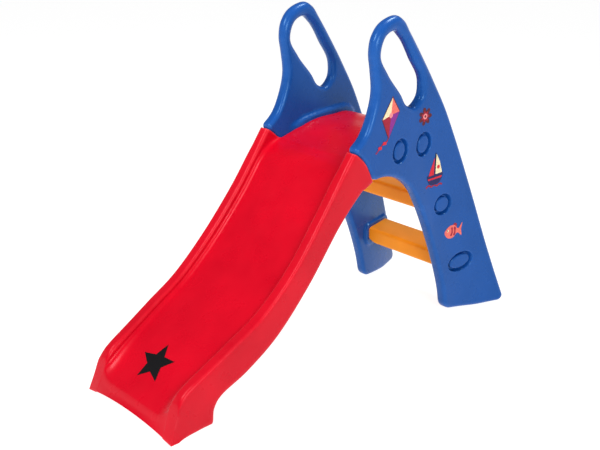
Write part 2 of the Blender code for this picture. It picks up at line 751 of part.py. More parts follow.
def cap_mesh(centre, half, tilt):
    """A cover that stands in its pocket like an island, hollow underneath for the screw head."""
    low = pocket_floor_x(centre) + TOUCH_GAP
    half_y, half_z = half[0] - CAP_RIM, half[1] - CAP_RIM
    steps = POCKET_SIDES
    bm = bmesh.new()
    rows = ((low + CAP_HOLLOW, CAP_HOLLOW_R, CAP_HOLLOW_R, 0.0), (low, CAP_HOLLOW_R, CAP_HOLLOW_R, 0.0),
            (low, half_y, half_z, tilt), (low + CAP_T - 0.003, half_y, half_z, tilt),
            (low + CAP_T, half_y - 0.003, half_z - 0.003, tilt))
    rings = [[bm.verts.new((x, p.x, p.y)) for p in shifted(ellipse(a, b, turn, steps), centre)]
             for x, a, b, turn in rows]
    for ring_a, ring_b in zip(rings, rings[1:]):
        for i in range(steps):
            j = (i + 1) % steps
            bm.faces.new((ring_a[i], ring_a[j], ring_b[j], ring_b[i]))
    bm.faces.new(rings[0])
    bm.faces.new(rings[-1])
    bmesh.ops.triangulate(bm, faces=[f for f in bm.faces if len(f.verts) > 4])
    return bm


def make_fixings():
    for name, centre, half, tilt in FIXINGS:
        for side, turn in (("right", lambda bm: bm), ("left", mirrored)):
            sign = 1 if side == "right" else -1
            origin = (sign * pocket_floor_x(centre), *centre)
            tag = f"{side}_{name}"
            new_object(tag + "_cap", turn(cap_mesh(centre, half, tilt)), BLUE, origin=origin)
            new_object(tag + "_screw", turn(screw_mesh(centre)), STEEL, 0.3, 1.0, origin)
            new_object(tag + "_washer", turn(washer_mesh(centre)), STEEL, 0.3, 1.0, origin)
            new_object(tag + "_nut", turn(nut_mesh(centre)), STEEL, 0.35, 1.0, origin)


# ---------------------------------------------------------------- stickers
def star(points, outer, inner):
    """A star round the origin with its first point up."""
    loop = []
    for k in range(2 * points):
        radius = inner if k % 2 else outer
        a = math.pi / 2 + math.pi * k / points
        loop.append(Vector((radius * math.cos(a), radius * math.sin(a))))
    return loop


def outline_of(pairs):
    return [Vector(p) for p in pairs]


KITE = outline_of(((0.0, 0.062), (0.034, 0.016), (0.004, -0.052), (-0.034, 0.004)))
BOAT = outline_of(((0.0, 0.052), (0.032, -0.012), (0.036, -0.020), (0.024, -0.046), (-0.022, -0.046),
                   (-0.034, -0.020), (-0.008, -0.014)))
FISH = outline_of(((0.038, 0.026), (0.022, 0.010), (0.008, 0.024), (-0.020, 0.018), (-0.036, 0.0),
                   (-0.020, -0.018), (0.008, -0.024), (0.022, -0.006), (0.036, -0.014)))
STICKERS = (
    ("kite_sticker", (0.797, 0.712), KITE, (0.800, 0.120, 0.110)),
    ("flower_sticker", (0.948, 0.696), star(6, 0.026, 0.019), (0.120, 0.010, 0.016)),
    ("boat_sticker", (1.006, 0.514), BOAT, (0.700, 0.600, 0.380)),
    ("fish_sticker", (1.105, 0.296), FISH, (0.780, 0.130, 0.090)),
)


def make_stickers():
    for name, centre, loop, color in STICKERS:
        mesh = slab_mesh(shifted(loop, centre), STICKER_GRID, lambda y, z: outer_face_x(y, z) + STICKER_GAP,
                         lambda y, z: outer_face_x(y, z) + STICKER_GAP + STICKER_T)
        new_object("right_" + name, mesh.copy(), color, 0.5)
        new_object("left_" + name, mirrored(mesh), color, 0.5)


# ---------------------------------------------------------------- assembly
def centre_over_floor():
    """Move the design so that its exit and its heel are equally far from the origin."""
    heel_y = max(vertex.co.y for vertex in bpy.data.objects["right_side_panel"].data.vertices)
    root = bpy.data.objects.new("slide", None)
    root.location = (0.0, -heel_y / 2, 0.0)
    things = list(bpy.context.collection.objects)
    bpy.context.collection.objects.link(root)
    for thing in things:
        thing.parent = root


def main():
    for thing in list(bpy.data.objects):
        bpy.data.objects.remove(thing, do_unlink=True)
    make_chute()
    make_panels()
    make_step("lower_step", LOWER_STEP, FIXINGS[3])
    make_step("upper_step", UPPER_STEP, FIXINGS[2])
    make_fixings()
    make_stickers()
    centre_over_floor()


main()
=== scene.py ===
"""The looks of the toddler slide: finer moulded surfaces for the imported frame, plastics, stickers, light.

Side-view coordinates are (y, z) with y counted from the chute's exit, as the slide was drawn. EXIT_Y
turns them into the frame's own y.
"""
import math

import bmesh
import bpy
import numpy as np
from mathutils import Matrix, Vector
from mathutils.geometry import delaunay_2d_cdt
from mathutils.kdtree import KDTree


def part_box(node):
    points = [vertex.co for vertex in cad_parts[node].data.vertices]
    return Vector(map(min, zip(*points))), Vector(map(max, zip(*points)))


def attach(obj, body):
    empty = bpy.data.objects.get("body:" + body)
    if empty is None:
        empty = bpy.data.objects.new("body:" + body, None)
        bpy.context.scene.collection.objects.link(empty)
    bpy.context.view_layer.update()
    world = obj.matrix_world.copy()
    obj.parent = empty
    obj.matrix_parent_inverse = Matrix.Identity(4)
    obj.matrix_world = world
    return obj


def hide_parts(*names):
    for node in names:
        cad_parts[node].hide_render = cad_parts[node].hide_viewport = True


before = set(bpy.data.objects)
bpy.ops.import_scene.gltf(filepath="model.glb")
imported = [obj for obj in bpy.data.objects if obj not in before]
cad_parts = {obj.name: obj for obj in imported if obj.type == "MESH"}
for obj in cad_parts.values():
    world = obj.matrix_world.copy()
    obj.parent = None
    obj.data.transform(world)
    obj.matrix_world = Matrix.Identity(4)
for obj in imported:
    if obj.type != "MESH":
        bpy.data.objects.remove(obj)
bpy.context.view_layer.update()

EXIT_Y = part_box("chute")[0][1]
WITHIN_EDGES = 1              # the triangulation's mode that keeps to the inside of the outline

# ---------------------------------------------------------------- the design's dimensions
HALF_WIDTH = 0.200
PANEL_T = 0.038
INNER_X = HALF_WIDTH - PANEL_T
CHUTE_WALL = 0.038
BED_T = 0.014
FLANGE_X = 0.128
EXIT_ARCH = 0.018             # how much the exit's middle stands above its sides
PLATFORM_HALF = INNER_X - 0.0008
PLATFORM_LEVEL = 0.6415
PLATFORM_DEPTH = 0.052
STEP_T = 0.053
STEP_DEPTH = 0.120
STEP_EDGE_R = 0.011
LOWER_STEP = (1.120, 0.198)
UPPER_STEP = (1.030, 0.418)
# a panel stands out more and more below FLARE_TOP, and more towards its rear edge
FLARE_TOP, FLARE_LINEAR, FLARE_CUBIC, FLARE_POWER = 0.95, 0.0303, 0.047, 1.35
CREASE_Y0, CREASE_SLOPE = 1.107, 0.28     # line down the panel where its flare begins
POCKET_DEPTH = 0.0155
CAP_RIM = 0.0095              # a cover is this much smaller than its pocket all round
COLLAR_T = 0.009
COLLAR_RIM = 0.014            # a collar is this much larger than its step all round

# name, centre (y, z), half sizes of the pocket, its tilt in degrees
FIXINGS = (
    ("platform_front", (0.846, 0.611), (0.032, 0.037), -12.0),
    ("platform_rear", (0.950, 0.611), (0.032, 0.037), -12.0),
    ("upper_step", (1.052, 0.398), (0.036, 0.034), 12.0),
    ("lower_step", (1.148, 0.181), (0.049, 0.033), 8.0),
)
# side view of a panel, run by run between its corners
HEEL = (1.3418, 0.0)
BALL = (1.235, 0.0)
TOE = (1.104, 0.017)
ARCH_END = (0.732, 0.541)
NOSE = (0.648, 0.639)
PANEL_BACK = (NOSE, (0.699, 0.680), (0.729, 0.742), (0.740, 0.800), (0.733, 0.860), (0.726, 0.905),
              (0.733, 0.945), (0.757, 0.978), (0.793, 0.9952), (0.826, 0.9986), (0.852, 0.984),
              (0.878, 0.951), (0.932, 0.877), (0.984, 0.801), (1.031, 0.723), (1.094, 0.601),
              (1.180, 0.410), (1.260, 0.208), HEEL)
LOOP_TOP = 9                  # the point of PANEL_BACK at the top of the hand loop
PANEL_HEEL = (HEEL, BALL)
PANEL_SOLE = (BALL, TOE)
PANEL_ARCH = (TOE, (1.091, 0.079), (1.064, 0.164), (1.034, 0.240), (0.983, 0.351), (0.947, 0.420),
              (0.909, 0.478), (0.868, 0.513), (0.824, 0.535), (0.776, 0.545), ARCH_END)
PANEL_JOINT = (ARCH_END, (0.716, 0.576), (0.697, 0.607), (0.676, 0.628), NOSE)
HAND_HOLE = ((0.816, 0.957), (0.777, 0.945), (0.759, 0.900), (0.790, 0.845), (0.848, 0.777),
             (0.873, 0.741), (0.903, 0.730), (0.932, 0.753), (0.935, 0.798), (0.894, 0.867),
             (0.843, 0.937))
# each row: the top of the wall, the middle of the bed, the bottom of the side band
CHUTE_SECTIONS = (
    ((0.655, 0.641), (0.6985, 0.6045), (0.732, 0.541)),
    ((0.627, 0.604), (0.656, 0.586), (0.708, 0.528)),
    ((0.598, 0.566), (0.618, 0.554), (0.683, 0.515)),
    ((0.529, 0.477), (0.548, 0.463), (0.600, 0.437)),
    ((0.428, 0.362), (0.444, 0.346), (0.486, 0.307)),
    ((0.317, 0.265), (0.329, 0.248), (0.368, 0.190)),
    ((0.215, 0.207), (0.225, 0.189), (0.262, 0.119)),
    ((0.130, 0.161), (0.141, 0.141), (0.177, 0.078)),
    ((0.082, 0.137), (0.095, 0.111), (0.150, 0.044)),
    ((0.055, 0.119), (0.059, 0.083), (0.142, 0.000)),
    ((0.0420, 0.1025), (0.0275, 0.0560), (0.110, 0.000)),
    ((0.0350, 0.0900), (0.0178, 0.0445), (0.092, 0.000)),
    ((0.0210, 0.0540), (0.0097, 0.0250), (0.060, 0.000)),
    ((0.0000, 0.0000), (0.0010, 0.0020), (0.030, 0.000)),
)
CHUTE_HALF_WIDTHS = (0.1995, 0.1988, 0.198, 0.199, 0.2035, 0.202, 0.197, 0.191, 0.188, 0.187, 0.187, 0.188,
                     0.190, 0.195)
# the round between bed and wall: how far across and how far up
BED_ROUNDS = ((0.016, 0.014), (0.016, 0.014), (0.016, 0.012), (0.016, 0.012), (0.016, 0.012), (0.017, 0.011),
              (0.019, 0.011), (0.026, 0.013), (0.036, 0.017), (0.046, 0.026), (0.050, 0.032), (0.050, 0.032),
              (0.050, 0.018), (0.040, 0.001))
PLATFORM_TOP = ((0.6985, 0.6045), (0.724, 0.6105), (0.752, 0.6180), (0.783, 0.6270), (0.816, 0.6355),
                (0.856, PLATFORM_LEVEL), (0.920, 0.6425), (0.985, 0.6415), (1.018, 0.633))
PLATFORM_END = ((1.040, 0.618), (1.050, 0.597))

# ---------------------------------------------------------------- the looks' own dimensions
LOOP_R = 0.0182               # rounding of the rim round the hand loop, where the moulding is a tube
RIM_R = 0.0120                # rounding of the rim lower down
LOOP_FROM, LOOP_TO = 0.690, 0.800         # heights between which the one turns into the other
JOINT_BULGE = 0.0117          # how far the chute's end curves out towards the panel
LEDGE_T = 0.0105              # ledge on a panel's inner face, over the platform
LEDGE_START, LEDGE_STOP = (0.735, 0.790), (1.045, 1.020)  # y where it comes in and where it goes out
LEDGE_EDGE = (-0.006, 0.007)  # its upper edge, as depths below LEDGE_TOP
LEDGE_FOOT = (-0.022, -0.008) # its lower edge, as heights over the platform's top
LEDGE_RINGS = (0.006, 0.003, 0.0, -0.003, -0.006)
LEDGE_TOP = ((0.735, 0.628), (0.804, 0.652), (0.853, 0.658), (0.904, 0.661), (0.942, 0.663), (0.985, 0.663),
             (1.012, 0.654), (1.045, 0.632))
RIM_ANGLES = (14, 26, 38, 50, 62, 74, 86) # where the rim's round has its rings
POCKET_RINGS = (0.004, 0.0025, 0.0015, 0.0007, 0.0, -0.0007, -0.0015, -0.0025, -0.004, -0.006, -0.008)
POCKET_OUT, POCKET_IN = 0.0022, -0.0050   # where a pocket's wall begins and ends, from its outline
COLLAR_RINGS = (0.004, 0.002, 0.0, -0.002, -0.004)
COLLAR_SOFT = 0.0035          # half the width of a collar's sloping edge
CAP_DROP = 0.0024             # a cover's face below the panel's
CAP_SHOULDER = 0.0045
CAP_CROWN = 0.0006
CAP_FLOOR = 0.0157            # a cover's underside below the panel's face
CAP_STEPS, CAP_LEVELS = 72, 16            # points round a cover, and rings across its face
POINT_RING_STEPS, MEASURE_STEPS = 84, 96  # points of the ellipses that place points and measure gaps
CHUTE_RIM_R = 0.012
BAND_R = 0.006                # round at the bottom of the side band, and at the platform's edges
FLANGE_R = 0.003
FLANGE_FLAT = 0.004           # flat strip beside the flange's lower edge
RIM_SHARE = 0.4               # the most of a low wall's height that its rim may take
ROUND_SHARE = 0.96            # and the most of the rest that the round below may take
# points along each stretch of a cross section
BED_STEPS, BED_ARC, RIM_ARC, SIDE_STEPS, BAND_ARC, PLATFORM_ARC = 12, 12, 9, 10, 5, 7
BED_ARC_END = 84              # degrees
THIRDS = (0.66, 0.33, 0.0)
BULGE_SKEW = 0.85             # under 1, the bulge is fullest above the middle of the joint
PLATFORM_RISE = 0.004         # its underside begins this far above the corner of the panels' arch
END_RISE, END_LEAN = 0.001, 0.001         # of the platform's last cross sections
END_FROM, END_TO = 1.030, 1.050           # y between which they come to rise
PLATFORM_BLEND = 0.10         # over this length the chute's underside becomes the platform's
PLATFORM_LEAN = 0.018         # how far a cross section leans where that begins
SECTION_STEPS = 14            # cross sections made between two rows
STEP_ROUND_W, STEP_ROUND_H = 0.040, 0.028 # the round at the lower corners of a step's ends
STEP_ROUND_FROM = 0.022       # how far below a step's top it begins
STEP_RINGS = (0.0, 0.0008, 0.002, 0.004, 0.007, 0.010, 0.014, 0.019, 0.025, 0.031, 0.036, 0.040,
              0.055, 0.075, 0.100, 0.125)
STEP_GAP = 0.0007
STEP_END_R = 0.004
FILM_GAP, FILM_T, FILM_STEP = 0.00025, 0.00020, 0.00010
FILM_GRID = 0.007
FILM_CLEARANCE = 0.4          # how near its rim a film's grid may come, as a share of its spacing
STRAIGHT_STEP, CURVE_STEP = 0.004, 0.003  # spacing along the edges of the printed shapes
DOT_STEPS, PETAL_STEPS = 28, 96
PETAL_SHAPE = 0.8
MARK_AT = (-0.011, 0.106)     # the printed star on the bed: x, and y from the exit
MARK_R = 0.062
MARK_TURN = 0.16
MARK_INNER = 0.46             # how near its centre the star's inner corners are
MARK_STEP = 0.006
CORNER_CUT = 0.027
FINE = 0.0045                 # spacing along outlines
GRID = 0.0085                 # spacing over plain faces
GRID_ROWS = 0.87              # its rows are closer together by this factor
CHUNK = 4000                  # points measured at a time, to save memory
RIM_CLEARANCE = 0.0004        # how near a point may come to an outline
POINT_CLEARANCE = 0.00055     # and to another point

FLOOR_HALF = 40.0
# name, place, what it faces, watts, length of its sides
LAMPS = (
    ("key_box", (-0.1, -2.7, 3.0), (0, 0, 0.35), 82, 1.1),
    ("side_box", (3.3, -1.6, 1.9), (0, 0.1, 0.45), 72, 1.1),
    ("top_box", (0.35, 1.25, 3.1), (0, 0.2, 0.4), 46, 0.7),
)
CAMERA_PLACE = (1.913, -1.172 + EXIT_Y, 1.400)
CAMERA_DOWN, CAMERA_TURN = 21.13, 46.62   # degrees below level, and round from looking along +y


# ---------------------------------------------------------------- plane geometry
def smooth_path(points, spacing, closed=False):
    """A smooth curve through the points, in steps of about the given spacing."""
    pts = np.array(points, float)
    count = len(pts)
    spans = count if closed else count - 1
    ahead = pts[(np.arange(spans) + 1) % count] - pts[:spans]
    chords = np.linalg.norm(ahead, axis=1)
    slopes = ahead / chords[:, None]
    tangents = np.empty_like(pts)
    for i in range(count):
        if not closed and i in (0, count - 1):
            tangents[i] = slopes[0 if i == 0 else -1]
            continue
        before, after = chords[i - 1], chords[i % spans]
        tangents[i] = (slopes[i - 1] * after + slopes[i % spans] * before) / (before + after)
    path = []
    for i in range(spans):
        j = (i + 1) % count
        t = np.arange(max(1, round(chords[i] / spacing)))[:, None]
        t = t / len(t)
        leave, arrive = tangents[i] * chords[i], tangents[j] * chords[i]
        path.append(pts[i] * (2 * t ** 3 - 3 * t ** 2 + 1) + leave * (t ** 3 - 2 * t ** 2 + t)
                    + pts[j] * (3 * t ** 2 - 2 * t ** 3) + arrive * (t ** 3 - t ** 2))
    if not closed:
        path.append(pts[-1:])
    return np.concatenate(path)


def trimmed(path, cut):
    """The path with a length cut off its start."""
    steps = np.linalg.norm(np.diff(path, axis=0), axis=1)
    run = np.concatenate([[0.0], np.cumsum(steps)])
    first = int(np.searchsorted(run, cut))
    share = (cut - run[first - 1]) / steps[first - 1]
    start = path[first - 1] + (path[first] - path[first - 1]) * share
    keep = first + (1 if share > 0.6 else 0)
    return np.concatenate([[start], path[keep:]])


def corner_round(start, corner, end, steps):
    """Points between start and end on the arc that touches both sides of the corner."""
    into, out = corner - start, end - corner
    turn = math.acos(np.clip(into @ out / np.linalg.norm(into) / np.linalg.norm(out), -1, 1))
    weight = math.cos(turn / 2)
    t = (np.arange(1, steps) / steps)[:, None]
    a, b, c = (1 - t) ** 2, 2 * weight * t * (1 - t), t ** 2
    return (start * a + corner * b + end * c) / (a + b + c)


def closed_outline(runs, spacing, corner_cut):
    """Join runs that share their end points into one loop, with its corners rounded."""
    paths = [smooth_path(run, spacing) for run in runs]
    paths = [trimmed(trimmed(path, corner_cut)[::-1], corner_cut)[::-1] for path in paths]
    loop = []
    for i, path in enumerate(paths):
        following = paths[(i + 1) % len(paths)]
        loop.append(path)
        loop.append(corner_round(path[-1], np.array(runs[i][-1]), following[0], 10))
    return np.concatenate(loop)


def signed_area(loop):
    ahead = np.roll(loop, -1, axis=0)
    return 0.5 * float(np.sum(loop[:, 0] * ahead[:, 1] - ahead[:, 0] * loop[:, 1]))


def counter_clockwise(loop):
    return loop if signed_area(loop) > 0 else loop[::-1]


def inset(loop, distance):
    """A counter-clockwise loop moved inwards."""
    into = loop - np.roll(loop, 1, axis=0)
    out = np.roll(loop, -1, axis=0) - loop
    into /= np.linalg.norm(into, axis=1)[:, None]
    out /= np.linalg.norm(out, axis=1)[:, None]
    normal = np.stack([-into[:, 1] - out[:, 1], into[:, 0] + out[:, 0]], axis=1)
    return loop + normal / np.linalg.norm(normal, axis=1)[:, None] * distance


def distance_to(points, loop):
    """How far each point is from a closed line."""
    a, b = loop, np.roll(loop, -1, axis=0)
    side = b - a
    squares = np.maximum(np.sum(side ** 2, axis=1), 1e-18)
    out = np.empty(len(points))
    for start in range(0, len(points), CHUNK):
        chunk = points[start:start + CHUNK, None, :] - a
        t = np.clip(np.sum(chunk * side, axis=2) / squares, 0.0, 1.0)
        out[start:start + CHUNK] = np.min(np.linalg.norm(chunk - side * t[..., None], axis=2), axis=1)
    return out


def within(points, loop):
    """Whether each point is inside a closed line."""
    a, b = loop, np.roll(loop, -1, axis=0)
    inside = np.zeros(len(points), bool)
    for (ay, az), (by, bz) in zip(a, b):
        if az == bz:
            continue
        crosses = ((az > points[:, 1]) != (bz > points[:, 1]))
        inside ^= crosses & (points[:, 0] < ay + (points[:, 1] - az) / (bz - az) * (by - ay))
    return inside


def signed_distance(points, loop):
    """Distance to a closed line, negative inside it."""
    return np.where(within(points, loop), -1.0, 1.0) * distance_to(points, loop)


def ellipse(centre, half, tilt, steps):
    """An ellipse with the given half sizes, turned by tilt degrees."""
    a = np.arange(steps) * math.tau / steps
    turn = math.radians(tilt)
    u, v = half[0] * np.cos(a), half[1] * np.sin(a)
    return np.stack([centre[0] + u * math.cos(turn) - v * math.sin(turn),
                     centre[1] + u * math.sin(turn) + v * math.cos(turn)], axis=1)


def smoothstep(low, high, value):
    """0 at low, 1 at high, and level at both ends."""
    t = np.clip((value - low) / (high - low), 0.0, 1.0)
    return t * t * (3 - 2 * t)


def quarter_round(distance, radius):
    """How far a rounded edge falls below its face at a distance from the rim."""
    gone = np.clip(radius - distance, 0.0, radius)
    return radius - np.sqrt(radius ** 2 - gone ** 2)


# ---------------------------------------------------------------- the panel's faces
PANEL_REAR = smooth_path(PANEL_BACK[LOOP_TOP:], 0.01)[::-1]


def flare(points):
    """How far the panel stands out sideways from its flat upper part."""
    y, z = points[:, 0], points[:, 1]
    drop = np.maximum(0.0, FLARE_TOP - z)
    full = FLARE_LINEAR * drop + FLARE_CUBIC * drop ** 3
    crease = CREASE_Y0 - CREASE_SLOPE * z
    rear = np.interp(z, PANEL_REAR[:, 1], PANEL_REAR[:, 0])
    across = (y - crease) / np.maximum(0.01, rear - crease)
    return full * np.clip(across, 0.0, 1.0) ** FLARE_POWER


def outer_face_x(points):
    return HALF_WIDTH + flare(points)


def inner_face_x(points):
    return INNER_X + flare(points)


# ---------------------------------------------------------------- making objects
def mesh_object(name, verts, faces, material, angle, body="root"):
    """A smooth-shaded object from vertices in the frame's coordinates."""
    mesh = bpy.data.meshes.new(name)
    mesh.from_pydata([tuple(map(float, v)) for v in verts], [], [tuple(map(int, f)) for f in faces])
    mesh.validate()
    bm = bmesh.new()
    bm.from_mesh(mesh)
    bmesh.ops.recalc_face_normals(bm, faces=bm.faces)
    bm.to_mesh(mesh)
    bm.free()
    mesh.shade_smooth()
    if angle < 180:
        mesh.set_sharp_from_angle(angle=math.radians(angle))
    mesh.materials.append(material)
    thing = bpy.data.objects.new(name, mesh)
    bpy.context.collection.objects.link(thing)
    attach(thing, body)
    return thing


def to_frame(x, points):
    """Vertices in the frame from an x for each (y, z)."""
    return np.column_stack([x, points[:, 0] + EXIT_Y, points[:, 1]])


def mirror(verts):
    return verts * np.array([-1.0, 1.0, 1.0])


def tube(levels, steps):
    """The faces between closed rings that follow one another, each with the same number of points."""
    faces = []
    for k in range(levels - 1):
        for i in range(steps):
            j = (i + 1) % steps
            faces.append((k * steps + i, k * steps + j, (k + 1) * steps + j, (k + 1) * steps + i))
    return faces


# ---------------------------------------------------------------- materials
def principled(name):
    material = bpy.data.materials.new(name)
    material.use_nodes = True
    return material, material.node_tree.nodes["Principled BSDF"]


def link(material, a, out, b, into):
    material.node_tree.links.new(a.outputs[out], b.inputs[into])


def node(material, kind, inputs=None, **settings):
    """A new shader node with the given inputs and settings."""
    made = material.node_tree.nodes.new(kind)
    for key, value in settings.items():
        setattr(made, key, value)
    for key, value in (inputs or {}).items():
        made.inputs[key].default_value = value
    return made


def noise(material, place, scale, detail):
    """Noise in the object's own coordinates."""
    made = node(material, "ShaderNodeTexNoise", {"Scale": scale, "Detail": detail})
    link(material, place, "Object", made, "Vector")
    return made


def ramp(material, source, out, low, high):
    """A colour ramp fed by a node: low and high are each a position and a colour."""
    made = node(material, "ShaderNodeValToRGB")
    for stop, (position, color) in zip(made.color_ramp.elements, (low, high)):
        stop.position = position
        stop.color = (*color, 1)
    link(material, source, out, made, "Fac")
    return made


def moulded_plastic(name, color, edge_highlight, glint, roughness, shine):
    """Coloured polyethylene: faint mottling, a fine moulded grain, and a painted highlight in paler patches
    on proud edges.
    """
    material, shader = principled(name)
    place = node(material, "ShaderNodeTexCoord")

    mottle = noise(material, place, 7.0, 2.0)
    mottle.inputs["Roughness"].default_value = 0.55
    tint = ramp(material, mottle, "Fac", (0.30, [c * 0.90 for c in color]),
                (0.70, [min(1.0, c * 1.06 + 0.001) for c in color]))

    # painted highlight: a paler colour laid on proud convex edges, broken into patches by noise
    edge = node(material, "ShaderNodeNewGeometry")
    proud = node(material, "ShaderNodeMapRange", {"From Min": 0.505, "From Max": 0.60})
    link(material, edge, "Pointiness", proud, "Value")
    patches = noise(material, place, 34.0, 3.0)
    where = node(material, "ShaderNodeMath", operation="MULTIPLY")
    link(material, proud, "Result", where, 0)
    link(material, patches, "Fac", where, 1)
    mix = node(material, "ShaderNodeMix", data_type="RGBA")
    mix.inputs["B"].default_value = (*edge_highlight, 1)
    link(material, where, "Value", mix, "Factor")
    link(material, tint, "Color", mix, "A")
    link(material, mix, "Result", shader, "Base Color")

    sheen = noise(material, place, 22.0, 2.0)
    gloss = node(material, "ShaderNodeMapRange", {"From Min": 0.3, "From Max": 0.7,
                                                  "To Min": roughness - 0.035, "To Max": roughness + 0.05})
    link(material, sheen, "Fac", gloss, "Value")
    link(material, gloss, "Result", shader, "Roughness")

    grain = noise(material, place, 420.0, 2.0)
    swell = noise(material, place, 26.0, 2.0)
    fine = node(material, "ShaderNodeBump", {"Strength": 0.02, "Distance": 0.0004})
    link(material, grain, "Fac", fine, "Height")
    broad = node(material, "ShaderNodeBump", {"Strength": 0.10, "Distance": 0.0030})
    link(material, swell, "Fac", broad, "Height")
    link(material, fine, "Normal", broad, "Normal")
    link(material, broad, "Normal", shader, "Normal")
    shader.inputs["Specular IOR Level"].default_value = shine
    shader.inputs["Specular Tint"].default_value = (*glint, 1)
    return material


def printed_film(name, color):
    """A printed sticker: flat ink with a faint screen of uneven coverage."""
    material, shader = principled(name)
    place = node(material, "ShaderNodeTexCoord")
    cover = noise(material, place, 160.0, 3.0)
    ink = ramp(material, cover, "Fac", (0.32, [c * 0.86 for c in color]),
               (0.62, [min(1.0, c * 1.05) for c in color]))
    link(material, ink, "Color", shader, "Base Color")
    shader.inputs["Roughness"].default_value = 0.42
    shader.inputs["Specular IOR Level"].default_value = 0.20
    return material


def zinc_plate(name):
    """Zinc plating on steel, with its fine spangle."""
    material, shader = principled(name)
    place = node(material, "ShaderNodeTexCoord")
    spangle = node(material, "ShaderNodeTexVoronoi", {"Scale": 420.0})
    link(material, place, "Object", spangle, "Vector")
    tint = ramp(material, spangle, "Distance", (0.0, (0.46, 0.47, 0.49)), (1.0, (0.66, 0.67, 0.69)))
    link(material, tint, "Color", shader, "Base Color")
    shader.inputs["Metallic"].default_value = 1.0
    shader.inputs["Roughness"].default_value = 0.34
    return material


# each plastic's second colour is the paler tone of its painted edge highlight
RED = moulded_plastic("red_polyethylene", color=(0.585, 0.0008, 0.013), edge_highlight=(0.86, 0.10, 0.12),
                      glint=(1.0, 0.42, 0.46), roughness=0.29, shine=0.24)
BLUE = moulded_plastic("blue_polyethylene", color=(0.005, 0.064, 0.295), edge_highlight=(0.07, 0.20, 0.56),
                       glint=(0.36, 0.72, 1.0), roughness=0.27, shine=0.34)
ORANGE = moulded_plastic("orange_polyethylene", color=(0.960, 0.330, 0.012), edge_highlight=(1.0, 0.42, 0.06),
                         glint=(1.0, 0.85, 0.6), roughness=0.33, shine=0.25)
ZINC = zinc_plate("zinc_plate")
INKS = {
    "coral": (0.780, 0.150, 0.120),
    "cream": (0.820, 0.700, 0.430),
    "purple": (0.240, 0.020, 0.240),
    "black": (0.004, 0.004, 0.005),
    "dark_red": (0.330, 0.008, 0.030),
    "red": (0.620, 0.012, 0.030),
    "maroon": (0.100, 0.010, 0.016),
    "navy": (0.010, 0.014, 0.090),
    "pink": (0.820, 0.250, 0.260),
}
INK = {name: printed_film("ink_" + name, color) for name, color in INKS.items()}


# ---------------------------------------------------------------- side panels
def step_loop(place, grow, spacing=None):
    """Outline of a step's cross section in side view, grown outwards."""
    r = STEP_EDGE_R
    loop = []
    for cy, cz, start in ((r, -r, 180), (STEP_DEPTH - r, -r, 90),
                          (STEP_DEPTH - r, r - STEP_T, 0), (r, r - STEP_T, -90)):
        for k in range(9):
            a = math.radians(start - 90 * k / 8)
            loop.append((place[0] + cy + (r + grow) * math.cos(a), place[1] + cz + (r + grow) * math.sin(a)))
    loop = np.array(loop)
    return loop if spacing is None else divided(loop, spacing)


def divided(loop, spacing):
    """The loop with points added along its long sides."""
    points = []
    for a, b in zip(loop, np.roll(loop, -1, axis=0)):
        t = np.arange(max(1, round(np.linalg.norm(b - a) / spacing)))[:, None]
        points.append(a + (b - a) * t / len(t))
    return np.concatenate(points)


def panel_points(outline, hole):
    """Points for the panel's triangulation: rims first, then rings where it curves, then a plain grid."""
    depths = [LOOP_R * (1 - math.cos(math.radians(a))) for a in RIM_ANGLES]
    extra = []
    for loop, sign in ((outline, 1), (hole, -1)):
        for depth in depths + [LOOP_R + 0.003]:
            ring = inset(loop, sign * depth)
            uncrossed = distance_to(ring, loop) > 0.985 * depth
            extra.append(ring[uncrossed])
    for _, centre, half, tilt in FIXINGS:
        for offset in POCKET_RINGS:
            extra.append(ellipse(centre, (half[0] + offset, half[1] + offset), tilt, POINT_RING_STEPS))
    for place in (LOWER_STEP, UPPER_STEP):
        extra += [step_loop(place, COLLAR_RIM + offset, 0.006) for offset in COLLAR_RINGS]
        extra.append(step_loop(place, 0.0, 0.006))
    ledge = smooth_path(LEDGE_TOP, 0.006)
    extra += [ledge + np.array([0.0, lift]) for lift in LEDGE_RINGS]
    low, high = outline.min(axis=0), outline.max(axis=0)
    rows, columns = int((high[1] - low[1]) / GRID), int((high[0] - low[0]) / GRID)
    grid = np.array([low + np.array([c + 0.5 * (r % 2), r * GRID_ROWS]) * GRID
                     for r in range(int(rows / GRID_ROWS) + 2) for c in range(columns + 2)])
    return thinned(np.concatenate([*extra, grid]), outline, hole)


def thinned(points, outline, hole):
    """Only the points that are inside the panel, clear of its rims and of each other."""
    keep = within(points, outline) & ~within(points, hole)
    points = points[keep]
    clear = np.minimum(distance_to(points, outline), distance_to(points, hole)) > RIM_CLEARANCE
    points = points[clear]
    tree = KDTree(len(points))
    for i, p in enumerate(points):
        tree.insert((p[0], p[1], 0.0), i)
    tree.balance()
    dropped = np.zeros(len(points), bool)
    for i, p in enumerate(points):
        if dropped[i]:
            continue
        for _, j, _ in tree.find_range((p[0], p[1], 0.0), POINT_CLEARANCE):
            if j > i:
                dropped[j] = True
    return points[~dropped]


def panel_relief(points):
    """How far the outer face sinks into the fixing pockets."""
    relief = np.zeros(len(points))
    for _, centre, half, tilt in FIXINGS:
        gap = signed_distance(points, ellipse(centre, half, tilt, MEASURE_STEPS))
        relief = np.maximum(relief, POCKET_DEPTH * smoothstep(POCKET_OUT, POCKET_IN, gap))
    return relief


def panel_collars(points):
    """How far the inner face stands up in the collars round the steps' ends."""
    collar = np.zeros(len(points))
    for place in (LOWER_STEP, UPPER_STEP):
        gap = signed_distance(points, step_loop(place, COLLAR_RIM))
        collar = np.maximum(collar, COLLAR_T * smoothstep(COLLAR_SOFT, -COLLAR_SOFT, gap))
    return collar


